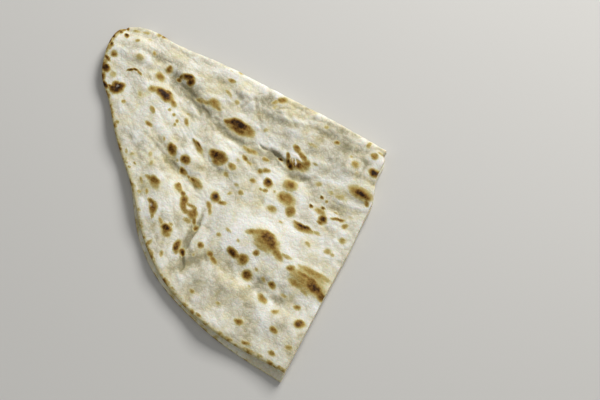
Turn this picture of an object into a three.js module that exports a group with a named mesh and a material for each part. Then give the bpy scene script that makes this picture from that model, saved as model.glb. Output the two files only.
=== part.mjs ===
import * as THREE from 'three';

// Half of a large thin naan, folded once and lying on its under layer. It is one sheet of
// bread: the under layer, the rounded fold and the top layer follow one another without a seam.
//
// Plan: x runs along the fold, from the rounded tip (about -187) to the cut (0), y falls from
// the fold (0) to the open rim (about -150), and z is the height above the resting surface.
// At the end the whole sheet is moved so that its origin is at the middle of its underside.

// ---------------------------------------------------------------------------
// Driving dimensions, in millimetres

const SHEET = 2.6; // thickness of the bread
const RIM_EDGE = 1.3; // thickness at the very edge of the baked rim
const RIM_BAND = 3.2; // the rim thins over this width
const RIM_BAND_MOST = 0.3; // most that this width takes of a short row near the tip
const LAYER_GAP = 0.45; // least air between the two layers

const FOLD_RADIUS_AT_TIP = 1.5; // to the middle of the sheet
const FOLD_RADIUS_AT_CUT = 3.4;
const FOLD_REACH_AT_TIP = 16; // the fold holds the top layer up this far
const FOLD_REACH_AT_CUT = 49;
const FOLD_PLATEAU = 0.3; // share of that reach at full height

// The outer line of the fold, from the tip to the cut.
const FOLD_LINE = [
  [-183.2, -2.4], [-176, 1.8], [-165, 3.4], [-147, 2.3], [-120, 4.2], [-85, 3.4], [-42, 2.9], [1, 0],
];
// The baked rim of the top layer, onward from the tip and round to the cut.
const RIM_LINE = [
  [-185.1, -6.4], [-186.4, -12.4], [-184.4, -24.4], [-177.8, -39.6], [-164.6, -52.4], [-144.6, -73.8],
  [-120.6, -95.2], [-98, -119], [-72, -137], [-36, -148.5], [16, -150.5],
];
// The cut edge of the top layer, from the fold to the rim.
const CUT_LINE = [
  [1, 0], [3.6, -2.8], [4.3, -10.5], [5.5, -18.5], [8.2, -25], [10, -30.5], [11.1, -47], [12.6, -66],
  [13.4, -90], [16, -150.5],
];

// The rim of the under layer lies a little inside the top rim at the tip's side and shows a
// little outside it at the near side.
const UNDER_RIM_AT_TIP = -1.6;
const UNDER_RIM_AT_CUT = 3.4;
const UNDER_RIM_WAVE = 1.1;
const UNDER_RIM_WAVES = 4.5;
const UNDER_RIM_PARTS = 0.12; // share of its length over which it parts from the top rim

// Both rims rise and fall along their length.
const RIM_RISE = 1.5;
const RIM_RISES = 5.5;
const RIM_RISE_REACH = 16;

// Where the top layer stands up from the under layer (height > 0) or is pressed down to it
// (height < 0): the middle of each place, its half-width along and across, the turn of its
// long axis from +x in degrees, and its height.
const TOP_SWELLS = [
  { at: [-42, -89], along: 38, across: 19, turn: -4, height: 2.6 }, // smooth raised middle
  { at: [-40, -123], along: 26, across: 8, turn: 4, height: 2.3 }, // ridge above the near rim
  { at: [-130, -58], along: 38, across: 13, turn: -46, height: 2.1 }, // flank beside the rim
  { at: [-163, -13], along: 13, across: 8, turn: -20, height: 1.9 }, // puffed tip
  { at: [-146, -33], along: 20, across: 9, turn: -42, height: 1.5 }, // beside the puffed tip
  { at: [-122, -17], along: 27, across: 7.5, turn: -20, height: 2.2 }, // ridge along the fold
  { at: [-102, -93], along: 24, across: 9, turn: -58, height: 1.9 }, // slanting ridge
  { at: [-88, -49], along: 24, across: 7, turn: -14, height: 1.8 }, // shoulder below the valley
  { at: [-97, -64], along: 20, across: 6, turn: -30, height: 1.3 }, // lower shoulder
  { at: [-2, -127], along: 20, across: 10, turn: 8, height: 2.0 }, // near corner at the cut
  { at: [-71, -106], along: 30, across: 8, turn: 88, height: -3.4 }, // crease to the near rim
  { at: [-104, -73], along: 20, across: 6, turn: -25, height: -1.7 }, // dip inside the flank
  { at: [-18, -115], along: 20, across: 5, turn: -4, height: -1.5 }, // trough behind the ridge
];
const FLATTENING = 0.5; // how softly a pressed place meets the under layer

// Blisters, where the bread itself is thicker on its outer face.
const BLISTERS = [
  { at: [-7, -36], along: 16, across: 8.5, turn: 3, height: 1.1 }, // broad bubble at the cut
  { at: [-33, -86], along: 12, across: 7, turn: -14, height: 1.1 },
  { at: [0, -97], along: 14, across: 8, turn: -8, height: 1.2 },
  { at: [-84, -28], along: 9, across: 6, turn: 0, height: 1.0 },
  { at: [-137, -33], along: 9, across: 6, turn: -12, height: 0.9 },
  { at: [-41, -31], along: 8, across: 7, turn: -30, height: 1.2 },
];

// Where the under layer stands clear of the resting surface. The rest of it lies flat.
const UNDER_SWELLS = [
  { at: [-176, -16], along: 17, across: 15, turn: -60, height: 2.2 }, // the tip lifts
  { at: [-122, -98], along: 30, across: 9, turn: -44, height: 1.6 }, // wave of the rim
  { at: [16, -132], along: 18, across: 20, turn: 0, height: 1.9 }, // corner of rim and cut
  { at: [-50, -150], along: 20, across: 8, turn: -4, height: 1.2 },
  { at: [12, -52], along: 9, across: 22, turn: 0, height: 0.9 },
];
const UNDER_FLAT_BELOW = 0.4; // swells lower than this lie flat

// ---------------------------------------------------------------------------
// Mesh density

const ROWS = 36; // from the tip to the cut
const ROW_CROWDING = 1.35; // rows lie closer toward the tip
const LAYER_COLUMNS = 21; // from the fold to the rim band
const RIM_BAND_SHARES = [0.55, 0.85, 1]; // columns across the rim band
const FOLD_STEPS = 8; // around the fold

// ---------------------------------------------------------------------------
// Small helpers

const lerp = THREE.MathUtils.lerp;

function smoothStep(from, to, value) {
  return THREE.MathUtils.smoothstep(value, from, to);
}

// A value that follows `value` above zero and flattens to nothing below it.
function softFloor(value, softness) {
  const settled = 0.5 * (value + Math.hypot(value, softness));
  return settled - 0.5 * softness * Math.exp(-Math.abs(value) / softness);
}

function curveThrough(points) {
  const places = points.map(([x, y]) => new THREE.Vector3(x, y, 0));
  return new THREE.CatmullRomCurve3(places, false, 'centripetal');
}

// The left-hand normal of a plan curve at a share of its length.
function leftNormal(curve, share) {
  const tangent = curve.getTangentAt(share);
  return new THREE.Vector3(-tangent.y, tangent.x, 0);
}

// Height of a list of bell-shaped swells above one plan point.
function swellHeight(swells, x, y) {
  let total = 0;
  for (const swell of swells) {
    const turn = THREE.MathUtils.degToRad(swell.turn);
    const dx = x - swell.at[0];
    const dy = y - swell.at[1];
    const along = (dx * Math.cos(turn) + dy * Math.sin(turn)) / swell.along;
    const across = (dy * Math.cos(turn) - dx * Math.sin(turn)) / swell.across;
    total += swell.height * Math.exp(-(along * along) - across * across);
  }
  return total;
}

// ---------------------------------------------------------------------------
// Outline of each layer

function foldRadius(u) {
  return lerp(FOLD_RADIUS_AT_TIP, FOLD_RADIUS_AT_CUT, u);
}

const foldCurve = curveThrough(FOLD_LINE);

// The axis that the sheet bends round, inside the fold's outer line.
function foldAxis(u) {
  const fromTip = u * foldCurve.getLength();
  const inset = foldRadius(u) + thickness(fromTip) / 2;
  return foldCurve.getPointAt(u).addScaledVector(leftNormal(foldCurve, u), -inset);
}

const pole = foldAxis(0); // where the fold ends and both rims begin
const rimCurve = curveThrough([[pole.x, pole.y], ...RIM_LINE]);
const cutCurve = curveThrough(CUT_LINE);

function rimPoint(layer, u) {
  const point = rimCurve.getPointAt(u);
  if (layer === 'under') {
    const wave = UNDER_RIM_WAVE * Math.sin(UNDER_RIM_WAVES * Math.PI * u);
    const shift = (lerp(UNDER_RIM_AT_TIP, UNDER_RIM_AT_CUT, u) + wave) * smoothStep(0, UNDER_RIM_PARTS, u);
    point.addScaledVector(leftNormal(rimCurve, u), -shift);
  }
  return point;
}

// The cut edge, slid so that it starts on the fold axis and ends on this layer's rim.
function cutPoint(layer, v) {
  const atFold = foldAxis(1).sub(cutCurve.getPointAt(0));
  const atRim = rimPoint(layer, 1).sub(cutCurve.getPointAt(1));
  return cutCurve.getPointAt(v).add(atFold.lerp(atRim, v));
}

// Distance and direction of a plan point from the pole.
function fromPole(point) {
  return [Math.hypot(point.x - pole.x, point.y - pole.y), Math.atan2(point.y - pole.y, point.x - pole.x)];
}

// Plan point of a layer: u runs from the pole to the cut, v from the fold to the rim. The
// layer is a fan about the pole, so its blend is made in polar coordinates.
function layerPlan(layer, u, v) {
  if (u === 0) {
    return pole.clone();
  }
  const fold = fromPole(foldAxis(u));
  const rim = fromPole(rimPoint(layer, u));
  const cut = fromPole(cutPoint(layer, v));
  const cutAtFold = fromPole(cutPoint(layer, 0));
  const cutAtRim = fromPole(cutPoint(layer, 1));
  const [radius, angle] = [0, 1].map(
    (k) => lerp(fold[k], rim[k], v) + u * (cut[k] - lerp(cutAtFold[k], cutAtRim[k], v)),
  );
  return new THREE.Vector3(pole.x + radius * Math.cos(angle), pole.y + radius * Math.sin(angle), 0);
}

// ---------------------------------------------------------------------------
// Heights

function rimRise(u, fromRim) {
  const wave = 0.5 - 0.5 * Math.cos(2 * Math.PI * RIM_RISES * u);
  return RIM_RISE * wave * Math.exp(-fromRim / RIM_RISE_REACH);
}

// Middle of the under layer. It is lowest, and flat, wherever no swell lifts it.
function underHeight(x, y, fromFold) {
  const swell = Math.max(swellHeight(UNDER_SWELLS, x, y) - UNDER_FLAT_BELOW, 0);
  const lift = (swell * swell) / (swell + UNDER_FLAT_BELOW);
  return SHEET / 2 + lift * smoothStep(0, RIM_RISE_REACH, fromFold);
}

// Middle of the top layer: held up along the fold, settling onto the under layer beyond it.
function topHeight(x, y, u, fromFold, fromRim) {
  const reach = lerp(FOLD_REACH_AT_TIP, FOLD_REACH_AT_CUT, u);
  const foldLift = 2 * foldRadius(u) - SHEET - LAYER_GAP;
  const crest = foldLift * (1 - smoothStep(FOLD_PLATEAU * reach, reach, fromFold));
  const loose = softFloor(swellHeight(TOP_SWELLS, x, y) + rimRise(u, fromRim), FLATTENING);
  const free = smoothStep(0, reach / 2, fromFold);
  return underHeight(x, y, fromFold) + SHEET + LAYER_GAP + crest + loose * free;
}

// Thickness of the sheet, thinner over the baked rim.
function thickness(fromRim) {
  const share = Math.min(fromRim / RIM_BAND, 1);
  return lerp(RIM_EDGE, SHEET, Math.sqrt(1 - (1 - share) ** 2));
}

// ---------------------------------------------------------------------------
// One row across the folded sheet: under rim, under layer, fold, top layer, top rim

function layerRow(layer, u) {
  const span = foldAxis(u).distanceTo(rimPoint(layer, u));
  const band = span > 0 ? Math.min(RIM_BAND / span, RIM_BAND_MOST) : RIM_BAND_MOST;
  const shares = [];
  for (let k = 0; k <= LAYER_COLUMNS; k += 1) {
    shares.push(((1 - band) * k) / LAYER_COLUMNS);
  }
  shares.push(...RIM_BAND_SHARES.map((share) => 1 - band * (1 - share)));
  return shares.map((v) => {
    const place = layerPlan(layer, u, v);
    const fromFold = v * span;
    const fromRim = Math.min((1 - v) * span, place.distanceTo(pole));
    const isTop = layer === 'top';
    place.z = isTop
      ? topHeight(place.x, place.y, u, fromFold, fromRim)
      : underHeight(place.x, place.y, fromFold);
    const rest = smoothStep(0, RIM_BAND, fromRim) * smoothStep(0, RIM_BAND, fromFold);
    const blister = isTop ? rest * swellHeight(BLISTERS, place.x, place.y) : 0;
    return { place, thickness: thickness(fromRim), blister };
  });
}

function foldRow(u) {
  const axis = foldAxis(u);
  const outward = leftNormal(foldCurve, u);
  const radius = foldRadius(u);
  const places = [];
  for (let k = 1; k < FOLD_STEPS; k += 1) {
    const angle = Math.PI * (k / FOLD_STEPS - 0.5);
    const place = axis.clone().addScaledVector(outward, radius * Math.cos(angle));
    place.z = SHEET / 2 + radius * (1 + Math.sin(angle));
    places.push({ place, thickness: thickness(axis.distanceTo(pole)), blister: 0 });
  }
  return places;
}

function sheetRow(u) {
  return [...layerRow('under', u).reverse(), ...foldRow(u), ...layerRow('top', u)];
}

// ---------------------------------------------------------------------------
// The closed sheet: an outer and an inner face on either side of the middle surface, and
// walls along the rim and the cut

function sheetGeometry() {
  const grid = [];
  for (let row = 0; row <= ROWS; row += 1) {
    grid.push(sheetRow((row / ROWS) ** ROW_CROWDING));
  }
  const columns = grid[0].length;
  const layerWidth = LAYER_COLUMNS + RIM_BAND_SHARES.length;

  // Every point of the first row of a layer is the same point at the pole.
  const pointNumber = (row, column) => {
    if (row === 0) {
      return THREE.MathUtils.clamp(column, layerWidth, columns - 1 - layerWidth);
    }
    return row * columns + column;
  };

  const faces = [];
  for (let row = 0; row < ROWS; row += 1) {
    for (let column = 0; column < columns - 1; column += 1) {
      const a = pointNumber(row, column);
      const b = pointNumber(row, column + 1);
      const c = pointNumber(row + 1, column + 1);
      const d = pointNumber(row + 1, column);
      faces.push([a, b, c], [a, c, d]);
    }
  }
  const realFaces = faces.filter(([a, b, c]) => a !== b && b !== c && c !== a);

  const points = grid.flat();
  const normals = middleNormals(points, realFaces);
  const outer = points.map(({ place, thickness: thick, blister }, k) =>
    place.clone().addScaledVector(normals[k], thick / 2 + blister));
  const inner = points.map(({ place, thickness: thick }, k) =>
    place.clone().addScaledVector(normals[k], -thick / 2));

  // The border, in the direction in which the faces run round the sheet.
  const border = [];
  for (let column = layerWidth; column < columns - 1 - layerWidth; column += 1) {
    border.push(pointNumber(0, column));
  }
  for (let row = 0; row < ROWS; row += 1) {
    border.push(pointNumber(row, columns - 1));
  }
  for (let column = columns - 1; column > 0; column -= 1) {
    border.push(pointNumber(ROWS, column));
  }
  for (let row = ROWS; row > 0; row -= 1) {
    border.push(pointNumber(row, 0));
  }

  const count = points.length;
  const triangles = [];
  for (const [a, b, c] of realFaces) {
    triangles.push(a, b, c, a + count, c + count, b + count);
  }
  border.forEach((from, k) => {
    const to = border[(k + 1) % border.length];
    triangles.push(from, from + count, to + count, from, to + count, to);
  });
  return closedGeometry([...outer, ...inner], triangles);
}

// Area-weighted normals of the middle surface.
function middleNormals(points, faces) {
  const normals = points.map(() => new THREE.Vector3());
  for (const face of faces) {
    const [a, b, c] = face.map((k) => points[k].place);
    const area = b.clone().sub(a).cross(c.clone().sub(a));
    face.forEach((k) => normals[k].add(area));
  }
  return normals.map((normal) => normal.normalize());
}

// A geometry of the vertices that the triangles use, with its origin at the middle of its
// underside and the lowest face at z = 0.
function closedGeometry(vertices, triangles) {
  const used = new Map();
  const kept = [];
  const index = triangles.map((k) => {
    if (!used.has(k)) {
      used.set(k, kept.length);
      kept.push(vertices[k]);
    }
    return used.get(k);
  });
  const geometry = new THREE.BufferGeometry().setFromPoints(kept);
  geometry.setIndex(index);
  geometry.computeBoundingBox();
  const { min, max } = geometry.boundingBox;
  geometry.translate(-(min.x + max.x) / 2, -(min.y + max.y) / 2, -min.z);
  geometry.computeVertexNormals();
  return geometry;
}

// ---------------------------------------------------------------------------

const crust = new THREE.MeshStandardMaterial({ color: 0xded9bf, roughness: 0.85, metalness: 0 });

const naan = new THREE.Mesh(sheetGeometry(), crust);
naan.name = 'naan';

const foldedNaan = new THREE.Group();
foldedNaan.add(naan);

export default foldedNaan;
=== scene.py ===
"""The looks of the folded naan.

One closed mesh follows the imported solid, from the same outline, fold and swells, and adds the
fine relief of the crust, the baking marks and a procedural material.

Plan places are those of the bread itself: x runs along the fold, from the rounded tip (about
-187 mm) to the cut (1 mm at the fold, 16 mm at the open rim), and y falls from the fold (0) to
the open rim (about -150 mm). Past the fold, rolled_y goes on over it and along the under layer, as
if the bread were rolled out flat again.
"""

import math

import bpy
import numpy as np
from mathutils import Matrix, Vector


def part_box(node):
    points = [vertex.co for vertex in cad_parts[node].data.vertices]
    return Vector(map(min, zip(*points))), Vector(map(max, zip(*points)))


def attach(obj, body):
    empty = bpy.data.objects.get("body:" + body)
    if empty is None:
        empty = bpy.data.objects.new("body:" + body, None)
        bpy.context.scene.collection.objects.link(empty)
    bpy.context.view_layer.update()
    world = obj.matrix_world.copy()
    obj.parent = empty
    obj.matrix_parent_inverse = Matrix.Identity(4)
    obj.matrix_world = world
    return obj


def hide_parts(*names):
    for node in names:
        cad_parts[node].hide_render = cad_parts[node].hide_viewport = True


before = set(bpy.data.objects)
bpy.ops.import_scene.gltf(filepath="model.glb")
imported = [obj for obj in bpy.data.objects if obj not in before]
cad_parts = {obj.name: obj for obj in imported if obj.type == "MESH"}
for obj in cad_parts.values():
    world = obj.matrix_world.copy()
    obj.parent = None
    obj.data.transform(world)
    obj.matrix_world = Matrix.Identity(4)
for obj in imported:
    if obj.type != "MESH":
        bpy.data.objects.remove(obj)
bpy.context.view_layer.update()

MM = 0.001

# ---------------------------------------------------------------------------
# Sizes of the folded sheet, in metres, as in the solid

SHEET = 2.6 * MM
RIM_EDGE = 1.3 * MM
RIM_BAND = 3.2 * MM
LAYER_GAP = 0.45 * MM

FOLD_RADIUS_AT_TIP = 1.5 * MM
FOLD_RADIUS_AT_CUT = 3.4 * MM
FOLD_REACH_AT_TIP = 16 * MM
FOLD_REACH_AT_CUT = 49 * MM
FOLD_PLATEAU = 0.3  # share of that reach over which the crest stays level

FOLD_LINE = MM * np.array([
    (-183.2, -2.4), (-176, 1.8), (-165, 3.4), (-147, 2.3), (-120, 4.2), (-85, 3.4), (-42, 2.9), (1, 0),
])
RIM_LINE = MM * np.array([
    (-185.1, -6.4), (-186.4, -12.4), (-184.4, -24.4), (-177.8, -39.6), (-164.6, -52.4), (-144.6, -73.8),
    (-120.6, -95.2), (-98, -119), (-72, -137), (-36, -148.5), (16, -150.5),
])
CUT_LINE = MM * np.array([
    (1, 0), (3.6, -2.8), (4.3, -10.5), (5.5, -18.5), (8.2, -25), (10, -30.5), (11.1, -47), (12.6, -66),
    (13.4, -90), (16, -150.5),
])

UNDER_RIM_AT_TIP = -1.6 * MM
UNDER_RIM_AT_CUT = 3.4 * MM
UNDER_RIM_WAVE = 1.1 * MM
UNDER_RIM_WAVES = 4.5
UNDER_RIM_PARTS = 0.12  # share of the rim, from the tip, over which the two rims part

RIM_RISE = 1.5 * MM
RIM_RISES = 5.5
RIM_RISE_REACH = 16 * MM
FLATTENING = 0.5 * MM
UNDER_FLAT_BELOW = 0.4 * MM

# Swells: middle x, y, half-width along and across, turn in degrees, height; all in millimetres.
TOP_SWELLS = [
    (-42, -89, 38, 19, -4, 2.6),
    (-40, -123, 26, 8, 4, 2.3),
    (-130, -58, 38, 13, -46, 2.1),
    (-163, -13, 13, 8, -20, 1.9),
    (-146, -33, 20, 9, -42, 1.5),
    (-122, -17, 27, 7.5, -20, 2.2),
    (-102, -93, 24, 9, -58, 1.9),
    (-88, -49, 24, 7, -14, 1.8),
    (-97, -64, 20, 6, -30, 1.3),
    (-2, -127, 20, 10, 8, 2.0),
    (-71, -106, 30, 8, 88, -3.4),
    (-104, -73, 20, 6, -25, -1.7),
    (-18, -115, 20, 5, -4, -1.5),
]
BLISTERS = [
    (-7, -36, 16, 8.5, 3, 1.1),
    (-33, -86, 12, 7, -14, 1.1),
    (0, -97, 14, 8, -8, 1.2),
    (-84, -28, 9, 6, 0, 1.0),
    (-137, -33, 9, 6, -12, 0.9),
    (-41, -31, 8, 7, -30, 1.2),
]
UNDER_SWELLS = [
    (-176, -16, 17, 15, -60, 2.2),
    (-122, -98, 30, 9, -44, 1.6),
    (16, -132, 18, 20, 0, 1.9),
    (-50, -150, 20, 8, -4, 1.2),
    (12, -52, 9, 22, 0, 0.9),
]

# ---------------------------------------------------------------------------
# Marks that the baking left on the shown face, in millimetres: middle x, y, half-length,
# half-width, turn of the long axis in degrees, and how dark it is baked, from 0 to 1.

TIP_MARKS = [
    (-181.9, -3.9, 1.5, 1, -30, 0.65), (-183.9, -8.6, 1.5, 1.2, 0, 0.78), (-179.1, -9.1, 1.7, 1.4, 0, 0.9),
    (-185.8, -12.4, 1.6, 1, -40, 0.88), (-187, -16.6, 2.6, 1.5, 90, 0.98),
    (-183.9, -18.3, 1.9, 1.1, -50, 0.86), (-184.6, -21, 2.3, 1.8, -60, 0.52),
    (-178.8, -23.4, 2.4, 1.9, -15, 0.67), (-180.9, -27.8, 2.8, 0.95, -18, 0.97),
    (-181.2, -30.8, 1.8, 1.6, 0, 0.46), (-178.4, -34.5, 3.1, 2.5, -15, 1),
    (-177, -40.6, 3.1, 1.9, -60, 0.76), (-172.4, -44.8, 3.2, 1.2, -32, 0.98),
    (-175.2, -45.2, 3, 1, -42, 0.8), (-168.4, -50.4, 4.2, 1, -42, 0.7), (-163.2, -41.6, 3.1, 3.4, 30, 0.97),
    (-165.5, -44.8, 3.7, 2.6, -10, 1), (-166.6, -41, 2.6, 2.4, 0, 0.84), (-169.2, -43.9, 2.2, 0.8, 5, 0.88),
    (-164, -27.8, 2.5, 0.9, 42, 0.9), (-161, -26.1, 2.3, 0.95, 8, 0.84), (-157.6, -27, 2, 0.9, -25, 0.55),
    (-163.6, -17.9, 3.2, 2.8, 0, 0.35), (-170.8, -8.5, 1.7, 1, 35, 0.45), (-157.4, -10.9, 2, 1.1, -35, 0.45),
    (-164.8, -3.9, 1.8, 0.8, 10, 0.28), (-143.1, -15.9, 2.1, 2.5, 0, 0.63),
    (-145.4, -23.3, 3.7, 2.4, -30, 0.58), (-155.6, -49.1, 1.7, 1.2, -30, 0.5),
    (-172.4, -36.1, 2.8, 2.2, -60, 0.3), (-149.6, -39.4, 2.6, 1.3, -45, 0.3),
    (-137, -45.4, 3, 1.3, -38, 0.47), (-133.8, -54.7, 2.3, 1.4, 0, 0.64), (-162, 2, 1.6, 1.6, 0, 0.5),
    (-158.6, 2.4, 2, 1.5, 0, 0.82), (-175.4, -2.8, 2.6, 1.1, 25, 0.36), (-169.5, -0.6, 2.4, 0.9, 10, 0.38),
]
FOLD_MARKS = [
    (-136.2, -33.4, 6.6, 3, -13, 1), (-144.4, -33.2, 2.9, 2.4, 0, 0.5), (-128.6, -35.6, 3, 1.9, -25, 0.55),
    (-134.5, -30.8, 3, 1.4, -10, 0.7), (-128.3, -40, 1.1, 1.1, 0, 0.46), (-123.9, -41.5, 1.2, 1.1, 0, 0.5),
    (-119.9, -44.5, 1.1, 1, 0, 0.46), (-120, -47.2, 1, 1.3, 0, 0.44), (-114.5, -42.3, 2.8, 1.3, -35, 0.53),
    (-116.7, -36.9, 1.8, 1, 0, 0.3), (-129.4, -14.8, 4, 2.1, 6, 0.93), (-126.3, -17, 2.7, 2.1, -65, 0.9),
    (-133.6, -16.4, 1.8, 1.3, 50, 0.7), (-134.1, -18.9, 1.8, 1.4, 0, 0.78),
    (-104.9, -4.2, 2.5, 1.4, 0, 0.54), (-102.2, -12.9, 3.5, 1.3, -25, 0.34),
    (-94.5, -15.3, 1.9, 1.7, 0, 0.36), (-106.6, -23, 4.6, 2.9, -8, 0.5), (-107.4, -22.2, 2.4, 1.5, 0, 0.6),
    (-102.6, -24.6, 2.4, 1.3, -25, 0.45), (-114.6, -24.9, 3.2, 1.7, 6, 0.42),
    (-111, -24.2, 3.2, 1.5, 4, 0.44), (-85.4, -28.3, 7.8, 2.7, 2, 1), (-84.4, -29.8, 9.4, 4.2, 0, 0.6),
    (-92.5, -29.2, 3, 1.5, 5, 0.78), (-84, -31.6, 7.2, 2.4, 0, 0.72), (-78, -30, 3.8, 3.2, 0, 0.62),
    (-70.8, -0.6, 3, 2.1, 45, 0.57), (-74.5, -4.2, 2.4, 1.5, 55, 0.42), (-73, -7, 2, 1.2, 60, 0.28),
    (-38.6, -3.8, 1.6, 1.2, 0, 0.38), (-39.8, -18.1, 4.2, 1.2, -8, 0.28), (-28.1, -9.4, 1.9, 1.3, 8, 0.76),
    (-103, 3, 2.2, 1.2, 0, 0.4), (-3.7, -6.6, 2.6, 2, 0, 0.64), (-11.1, -17.1, 2.5, 2.1, 0, 0.52),
    (-9.9, -2, 1.3, 1.8, 0, 0.52), (-15.9, -13.6, 1.1, 1, 0, 0.38), (1.7, -16.4, 3.3, 2.5, -5, 0.98),
    (-1, -3.6, 2.6, 0.7, 0, 0.36), (0.8, -32, 7.4, 4, -2, 0.56), (1.6, -32, 5.8, 2.6, -4, 0.84),
    (2.8, -32.2, 4.4, 1.9, -6, 0.96), (7.2, -36, 2.6, 1.1, -45, 0.66), (-7.8, -40.4, 4.4, 1.9, 0, 0.3),
    (-9, -37.4, 8, 3, 3, 0.12), (-14.6, -40.8, 3.2, 1.7, 0, 0.28), (-23.7, -39, 2.4, 1.7, 0, 0.34),
]
MIDDLE_MARKS = [
    (-99, -53.8, 4.6, 1.9, -28, 0.5), (-99.6, -51.8, 3.4, 0.75, -24, 0.86),
    (-103.2, -51, 2.3, 0.8, -40, 0.58), (-86, -52, 5.4, 3.2, 0, 0.88), (-84.6, -55.6, 3.2, 2.4, 0, 0.62),
    (-81.6, -53, 2.1, 2.8, 0, 0.66), (-120.5, -58.7, 1.6, 0.9, -50, 0.36), (-69.9, -39.9, 4.9, 1.6, 3, 0.48),
    (-74.4, -39.4, 2.2, 1.2, -20, 0.42), (-59.8, -40.3, 2.2, 1.4, 0, 0.54),
    (-70.8, -45.7, 2.4, 1.6, -25, 0.62), (-67.5, -47.4, 1.9, 1.2, -20, 0.46),
    (-55.8, -46.8, 2.4, 1.4, 25, 0.6), (-58.9, -48.7, 2, 1.3, 25, 0.6), (-74.2, -48.8, 1.6, 0.9, -20, 0.3),
    (-75.3, -54.4, 2.8, 1.8, -15, 0.52), (-75.7, -60.3, 2.2, 1.5, -30, 0.44),
    (-59.2, -56.4, 2, 1.7, 0, 0.54), (-50.6, -53.4, 3, 2.4, -15, 0.86), (-50, -58.2, 1.5, 1.3, 0, 0.54),
    (-52.3, -59, 1.3, 1, 0, 0.46), (-44.9, -56, 0.9, 0.8, 0, 0.36), (-38.4, -47.6, 3.3, 2.9, 0, 0.72),
    (-38.4, -48, 4.9, 4.2, 0, 0.5), (-35.6, -57.6, 5.9, 4.2, -8, 0.56), (-38.4, -57.4, 2.8, 2.2, 0, 0.64),
    (-30, -63, 3.2, 3.2, 0, 0.62), (-40.3, -66.8, 3, 2.3, 0, 0.45), (-99.3, -71.4, 2.9, 1.9, -20, 0.76),
    (-94.3, -72.8, 1.7, 1.1, 0, 0.62), (-88.2, -74.6, 5.4, 2.5, -20, 0.5),
    (-90.4, -73.4, 2.8, 1.2, -20, 0.68), (-101.8, -64, 3.2, 2.4, -25, 0.8),
    (-112.8, -62.4, 4, 2.3, -38, 0.8), (-112.2, -60.4, 2, 1.6, 0, 0.68), (-105.8, -67, 1.4, 1.2, 0, 0.4),
    (-73.7, -76.4, 3.1, 2.6, -45, 0.88), (-68, -77.9, 2.9, 1.5, 18, 0.63), (-61.4, -67, 1.8, 1.6, 0, 0.5),
    (-67.1, -70.2, 1.7, 1.1, 40, 0.44), (-66.3, -63.7, 1.8, 1.3, 0, 0.32),
    (-74.4, -83.2, 2.8, 1.6, -48, 0.5), (-72, -86.4, 2.4, 1.2, -62, 0.46), (-20.8, -53.6, 1.3, 1, 0, 0.96),
    (-14.3, -51.1, 1.2, 0.9, 0, 0.88), (-18.5, -45.8, 1.1, 1, 0, 0.86), (-14.4, -46.8, 1, 0.8, 0, 0.58),
    (-6.2, -50.3, 1.5, 0.7, 0, 0.5), (-10.8, -57.9, 2.4, 2.4, 0, 0.9), (-11, -60.8, 1.9, 1.2, 0, 0.62),
    (-14.7, -54.3, 3.6, 2.1, -10, 0.48), (-2.7, -53.7, 4, 1.1, 17, 0.76), (3, -55.3, 2.1, 1.4, 30, 0.53),
    (2.6, -48.8, 1.6, 0.9, 0, 0.3), (-18.3, -67.7, 5.7, 1.3, -2, 0.97), (-18, -68.8, 6, 2.1, 0, 0.64),
    (-9.9, -67.7, 2.6, 1.3, 0, 0.42), (5.8, -63.9, 2.2, 2, 0, 0.44), (1.4, -74.3, 2.2, 1.9, 0, 0.38),
    (4.9, -75, 1.4, 1.2, 0, 0.38), (-10.9, -76.4, 2.2, 1.3, 0, 0.42), (-31.5, -71.5, 1.4, 0.8, 0, 0.38),
    (-7.3, -21.5, 1.2, 1.6, 0, 0.24), (-69.9, -23.3, 1.8, 1.6, 0, 0.3), (-32, -28.2, 2.2, 0.9, 5, 0.3),
]
BLISTER_TEAR_MARKS = [
    (-47, -24.8, 3.3, 1.5, -27, 0.64), (-41.4, -27.8, 4, 1.5, -28, 0.64), (-37, -31, 2.6, 2.6, -40, 0.62),
    (-41.8, -34.4, 6, 3.8, 16, 0.5), (-37.6, -33.4, 3.4, 3.8, 0, 0.5), (-49, -32.4, 3, 1.1, -62, 0.7),
    (-47.2, -35.6, 2.8, 1.3, -52, 0.8), (-44.4, -37.2, 2.3, 1.8, -10, 0.88), (-39.6, -34.2, 3, 2.1, 20, 0.8),
    # The second mark on the next line, the near-black spot at the bottom of the cavity under the crease's
    # lip, is partly a burnt spot and partly painted shade.
    (-42.6, -35.4, 1.8, 0.8, -60, 0.72), (-52.3, -35.5, 2, 1.1, -5, 1),
]
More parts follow.
